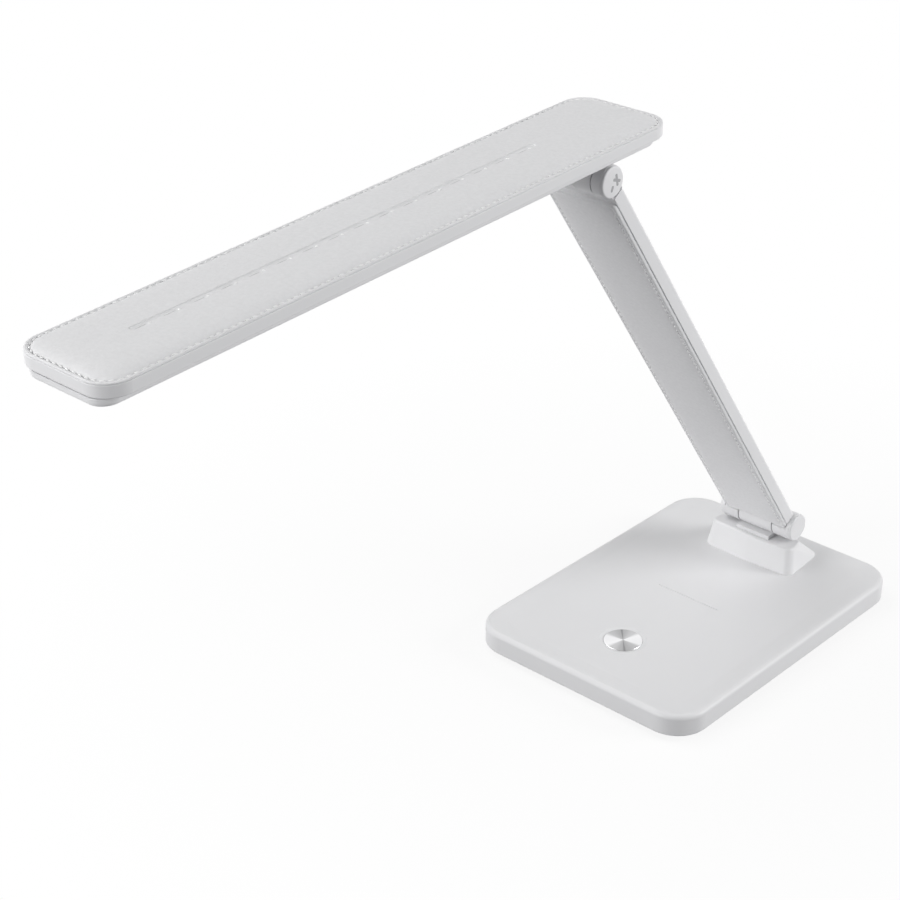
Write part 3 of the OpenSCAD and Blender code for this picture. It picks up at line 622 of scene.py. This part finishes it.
arm_place = in_arm @ Matrix.Translation(strip_middle) @ Matrix.Rotation(radians(90), 4, "X")

# %% Room for the lower barrel
clear_of_barrel = 8.45 * MM
barrel_half = 12.6 * MM
to_arm = in_arm.inverted() @ arm_place
for vertex in bm.verts:
    point = to_arm @ vertex.co
    if abs(point.x) < barrel_half and Vector((point.y, point.z)).length < clear_of_barrel:
        point.z = (clear_of_barrel ** 2 - point.y ** 2) ** 0.5
        vertex.co = to_arm.inverted() @ point
arm_pad = finish_piece(
    bm, "arm_leather_pad", arm_place, "pebbled_leather", "arm", ["arm_leather"]
)

# %% Stitches of the arm's long sides
side_x = strip_width / 2 - strip_valley[0] * MM
near = 0.1 * MM
pairs = []
for hole, following in zip(holes, holes[1:] + holes[:1]):
    if abs(hole.x - following.x) < near and abs(abs(hole.x) - side_x) < near:
        pairs.append((hole, following))
sew(
    "arm_stitches", pairs, arm_place, "arm", pad_up, thick=0.58 * MM, slant=radians(10),
    lift=0.5 * MM,
)

# %% [markdown]
# ## The upper caps
# Round caps close the ends of the upper hinge. The right one carries a plus and a minus
# sign. A cap is a turned part: its half section is a line of a few points, bevelled where
# it is round, and spun about the hinge. The signs are printed in grey, so they are thin
# bars with rounded ends. Where two bars cross, one stands a little prouder, because two
# faces in the same plane would flicker.

# %% Upper caps
cap_low, cap_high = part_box("upper_caps")
cap_radius = (cap_high.z - cap_low.z) / 2
cap_face = cap_high.x
cap_thick = 1.6 * MM
cap_rounding = 0.9 * MM
caps = bmesh.new()
for side in (-1, 1):
    section = [(cap_thick, 0.0), (cap_thick, cap_radius), (0.0, cap_radius), (0.0, 0.0)]
    ring = [caps.verts.new((side * (cap_face - cap_thick + x), 0, r)) for x, r in section]
    for pair in zip(ring, ring[1:]):
        caps.edges.new(pair)
    bmesh.ops.bevel(
        caps, geom=[ring[1]], offset=cap_rounding, offset_type="OFFSET", segments=6, profile=0.5,
        affect="VERTICES", material=-1,
    )
    profile = [edge for edge in caps.edges if not edge.link_faces]
    bmesh.ops.spin(
        caps, geom=profile, cent=(0, 0, 0), axis=(1, 0, 0), angle=2 * pi, steps=64, use_merge=True,
    )
bmesh.ops.remove_doubles(caps, verts=caps.verts, dist=0.001 * MM)
cap_place = Matrix.Translation(hinge["head_fold"])
caps_piece = finish_piece(
    caps, "upper_end_caps", cap_place, "satin_white", "arm", ["upper_caps"]
)
caps_piece.data.set_sharp_from_angle(angle=radians(40))
print("cap radius", round(cap_radius / MM, 2), "mm")

# %% Plus and minus
sign_width = 1.5 * MM
sign_thick = 0.12 * MM
sign_rounding = 0.6 * MM


def sign_bar(bm, y, z, length, turn, proud=0.0):
    """A flat bar with rounded ends on the cap's face, turned about the hinge's direction."""
    bar = bmesh.new()
    bmesh.ops.create_cube(bar, size=1)
    bmesh.ops.scale(bar, vec=(sign_thick, sign_width, length), verts=bar.verts)
    through = [
        edge for edge in bar.edges
        if abs(edge.verts[0].co.x - edge.verts[1].co.x) > sign_thick / 2
    ]
    bmesh.ops.bevel(
        bar, geom=through, offset=sign_rounding, offset_type="OFFSET", segments=4, profile=0.5,
        affect="EDGES", material=-1,
    )
    shape = bpy.data.meshes.new("bar")
    bar.to_mesh(shape)
    bar.free()
    stamp(bm, shape, Matrix.Translation((cap_face + proud, y, z)) @ Matrix.Rotation(turn, 4, "X"))


# (y, z, length, all in millimetres, turn in degrees, how much prouder in millimetres)
sign_bars = [(2.8, 0.6, 6.4, 12, 0.0), (2.8, 0.4, 5.6, 72, 0.03), (-0.5, -3.2, 3.2, -20, 0.0)]
signs = bmesh.new()
for y, z, length, turn, proud in sign_bars:
    sign_bar(signs, y * MM, z * MM, length * MM, radians(turn), proud * MM)
finish_piece(signs, "cap_signs", cap_place, "grey_print", "arm", smooth=False)
print("sign bars:", len(sign_bars))

# %% [markdown]
# ## CAD pieces that stay
# The moulded and turned pieces already have their true shape. Each takes the finish of its
# material slot in the record.

# %% Finishes of the CAD pieces
finish_of_slot = {
    "white_plastic": "satin_white",
    "white_cast_metal": "painted_white",
    "white_leather": "pebbled_leather",
    "brass": "turned_brass",
    "steel": "zinc_steel",
    "cast_iron": "cast_iron",
    "rubber": "foot_rubber",
    "brushed_steel": "sunray_steel_painted_fans",
    "dark_plastic": "black_plastic",
    "green_board": "board_green",
    "milky_plastic": "milky_diffuser",
    "clear_plastic": "guide_clear",
    "reflector_film": "film_white",
    "aluminium": "mill_aluminium",
    "led_chips": "phosphor",
}
slot_of_node = {part["node"]: part["material_slot"] for part in frame["record"]["subparts"]}
for name, node in nodes.items():
    node.data.materials.clear()
    node.data.materials.append(finishes[finish_of_slot[slot_of_node[name]]])
print("CAD pieces finished:", len(nodes))

# %% [markdown]
# ## Floor and light
# The lamp stands on a plain white floor under large soft lights. A real photographer would
# light the backdrop on its own. Here the floor glows for the camera and for reflections
# only, and some of its true shading is left in near the lamp, which keeps a soft shadow.
# For the light that it bounces it is a duller paper.

# %% Floor
def white_ray(tree, light_path):
    """1 for a ray that the camera, a reflection or a clear part sends out, otherwise 0."""
    either = add(tree, "ShaderNodeMath", operation="MAXIMUM")
    any_seen = add(tree, "ShaderNodeMath", operation="MAXIMUM")
    tree.links.new(light_path.outputs["Is Camera Ray"], either.inputs[0])
    tree.links.new(light_path.outputs["Is Glossy Ray"], either.inputs[1])
    tree.links.new(either.outputs["Value"], any_seen.inputs[0])
    tree.links.new(light_path.outputs["Is Transmission Ray"], any_seen.inputs[1])
    return any_seen.outputs["Value"]


floor_radius = 4.0
floor_gap = 0.0002
fade_from, fade_to = 0.12, 0.4
least_glow = 0.88
floor_mesh = bpy.data.meshes.new("floor")
bm = bmesh.new()
bmesh.ops.create_circle(bm, cap_ends=True, segments=64, radius=floor_radius)
bm.to_mesh(floor_mesh)
bm.free()
floor = bpy.data.objects.new("floor", floor_mesh)
floor.location.z = -floor_gap
bpy.context.scene.collection.objects.link(floor)
floor_material = bpy.data.materials.new("floor_white")
floor_material.use_nodes = True
tree = floor_material.node_tree
tree.nodes.clear()
seen_paper = add(tree, "ShaderNodeBsdfDiffuse", Color=(0.95, 0.95, 0.95, 1))
dull_paper = add(tree, "ShaderNodeBsdfDiffuse", Color=(0.34, 0.34, 0.35, 1))
glow = add(tree, "ShaderNodeEmission", Color=(1, 1, 1, 1), Strength=1.0)
light_path = add(tree, "ShaderNodeLightPath")
spot = add(tree, "ShaderNodeTexCoord")
distance = add(tree, "ShaderNodeVectorMath", operation="LENGTH")
fade = add(tree, "ShaderNodeMapRange")
fade.inputs["From Min"].default_value = fade_from
fade.inputs["From Max"].default_value = fade_to
fade.inputs["To Min"].default_value = least_glow
fade.inputs["To Max"].default_value = 1.0
whitened = add(tree, "ShaderNodeMixShader")
mix = add(tree, "ShaderNodeMixShader")
output = add(tree, "ShaderNodeOutputMaterial")
seen = white_ray(tree, light_path)
tree.links.new(spot.outputs["Object"], distance.inputs[0])
tree.links.new(distance.outputs["Value"], fade.inputs["Value"])
tree.links.new(fade.outputs["Result"], whitened.inputs["Fac"])
tree.links.new(seen_paper.outputs["BSDF"], whitened.inputs[1])
tree.links.new(glow.outputs["Emission"], whitened.inputs[2])
tree.links.new(seen, mix.inputs["Fac"])
tree.links.new(dull_paper.outputs["BSDF"], mix.inputs[1])
tree.links.new(whitened.outputs["Shader"], mix.inputs[2])
tree.links.new(mix.outputs["Shader"], output.inputs["Surface"])
floor_mesh.materials.append(floor_material)
print("floor radius", floor_radius, "m")

# %% [markdown]
# Four area lights stand in for a photographer's softboxes: a weak one overhead, one from
# the upper left for the leather, one from the rear right for the sides, and one in front
# for the hinge and the arm. The world is white to the camera and only faint as a light.

# %% Lights and world
world = bpy.data.worlds.new("studio")
bpy.context.scene.world = world
world.use_nodes = True
tree = world.node_tree
tree.nodes.clear()
ambient = add(tree, "ShaderNodeBackground", Color=(0.98, 0.99, 1.0, 1), Strength=0.1)
white = add(tree, "ShaderNodeBackground", Color=(1, 1, 1, 1), Strength=1.0)
light_path = add(tree, "ShaderNodeLightPath")
mix = add(tree, "ShaderNodeMixShader")
output = add(tree, "ShaderNodeOutputWorld")
tree.links.new(white_ray(tree, light_path), mix.inputs["Fac"])
tree.links.new(ambient.outputs["Background"], mix.inputs[1])
tree.links.new(white.outputs["Background"], mix.inputs[2])
tree.links.new(mix.outputs["Shader"], output.inputs["Surface"])


def softbox(name, place, aim, width, height, power):
    data = bpy.data.lights.new(name, "AREA")
    data.shape = "RECTANGLE"
    data.size = width
    data.size_y = height
    data.energy = power
    box = bpy.data.objects.new(name, data)
    box.location = place
    box.rotation_euler = (Vector(aim) - Vector(place)).to_track_quat("-Z", "Y").to_euler()
    bpy.context.scene.collection.objects.link(box)


lamp_foot = (0, -0.05, 0.1)
lamp_middle = (0, -0.05, 0.15)
softbox("top_box", (0.0, 0.1, 2.4), lamp_foot, 2.2, 2.2, 4)
softbox("top_left_box", (-1.4, -0.6, 2.0), lamp_foot, 1.6, 1.6, 25)
softbox("rear_right_box", (1.9, 1.2, 0.9), lamp_middle, 1.2, 1.2, 44)
softbox("front_box", (-0.6, -2.3, 0.8), lamp_middle, 1.2, 1.0, 31)
print("lights ready")

# %% [markdown]
# ## View transform
# The view transform is Standard, so colours render as they are written.

# %% Finish
bpy.context.scene.view_settings.view_transform = "Standard"
print("pieces made:", made)
